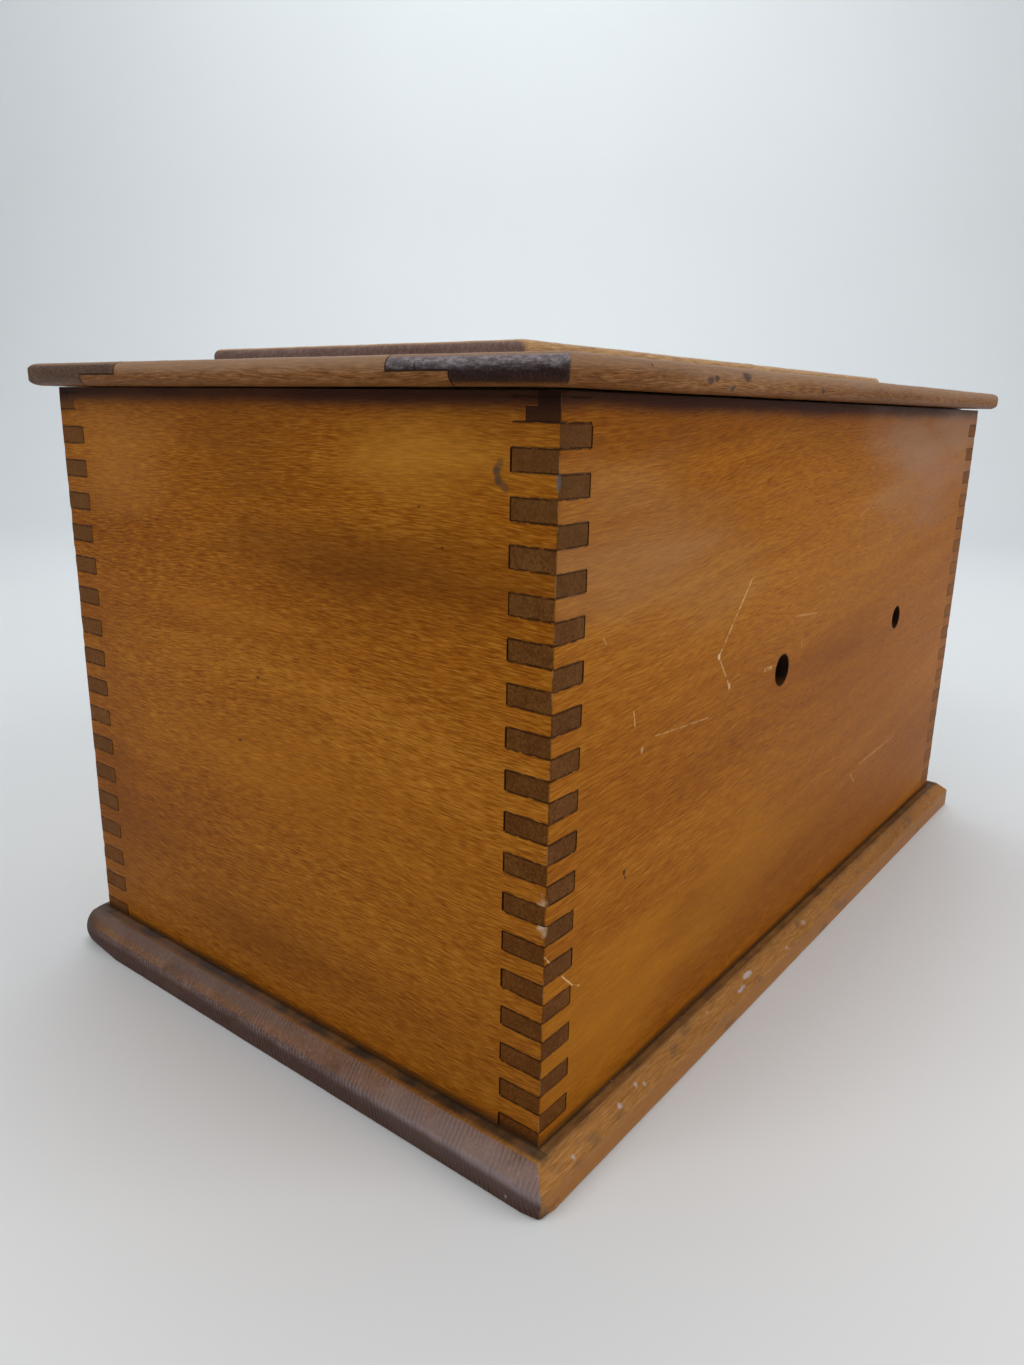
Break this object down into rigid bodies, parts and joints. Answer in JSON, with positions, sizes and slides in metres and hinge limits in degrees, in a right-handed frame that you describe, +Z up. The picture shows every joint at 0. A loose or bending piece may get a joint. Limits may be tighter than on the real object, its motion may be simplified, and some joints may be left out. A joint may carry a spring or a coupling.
{
  "type": "wooden money box",
  "caption": "Finger-jointed wooden money box on a bevelled base, with a hinged framed lid, raised panel, coin slot, keyhole and small bolt lock; two bores in the front board.",
  "frame": {"origin": "middle of the base board's underside", "axes": "+X along the box to its right end, +Y to the back (the hinge side), +Z up; the front wall with the two bores faces -Y"},
  "size_m": [0.3366, 0.2046, 0.1991],
  "materials": {
    "case_wood": "satin varnish",
    "base_wood": "worn varnish",
    "frame_wood": "worn varnish",
    "panel_wood": "satin varnish",
    "lining_wood": "bare",
    "brass": "aged",
    "steel": "dull"
  },
  "bodies": {
    "case": {"base_board": "base_wood", "base_screws": "steel", "front_wall": "case_wood", "back_wall": "case_wood", "left_wall": "case_wood", "right_wall": "case_wood", "strike_plate": "brass", "strike_screws": "brass", "hinge_wall_leaf_left": "brass", "hinge_wall_leaf_right": "brass", "hinge_pin_left": "brass", "hinge_pin_right": "brass", "hinge_wall_screws": "brass"},
    "lid": {"lid_front_rail": "frame_wood", "lid_back_rail": "frame_wood", "lid_left_rail": "frame_wood", "lid_right_rail": "frame_wood", "lid_panel": "panel_wood", "lid_lining": "lining_wood", "lining_screws": "steel", "hinge_lid_leaf_left": "brass", "hinge_lid_leaf_right": "brass", "hinge_lid_screws": "brass", "lock_case": "steel", "lock_cap": "steel", "lock_cap_screws": "steel", "lock_key_pin": "steel", "lock_screws": "steel", "lock_spring": "steel", "keyhole_escutcheon": "brass", "escutcheon_pins": "brass"},
    "bolt": {"lock_bolt": "brass"}
  },
  "joints": [
    {"name": "lid_hinge", "type": "hinge", "parent": "case", "child": "lid", "pos_m": [0, 0.0967, 0.1848], "axis": [-1, 0, 0], "range_deg": [0, 120]},
    {"name": "bolt_slide", "type": "slide", "parent": "lid", "child": "bolt", "axis": [0, -1, 0], "range_m": [0, 0.006]}
  ]
}
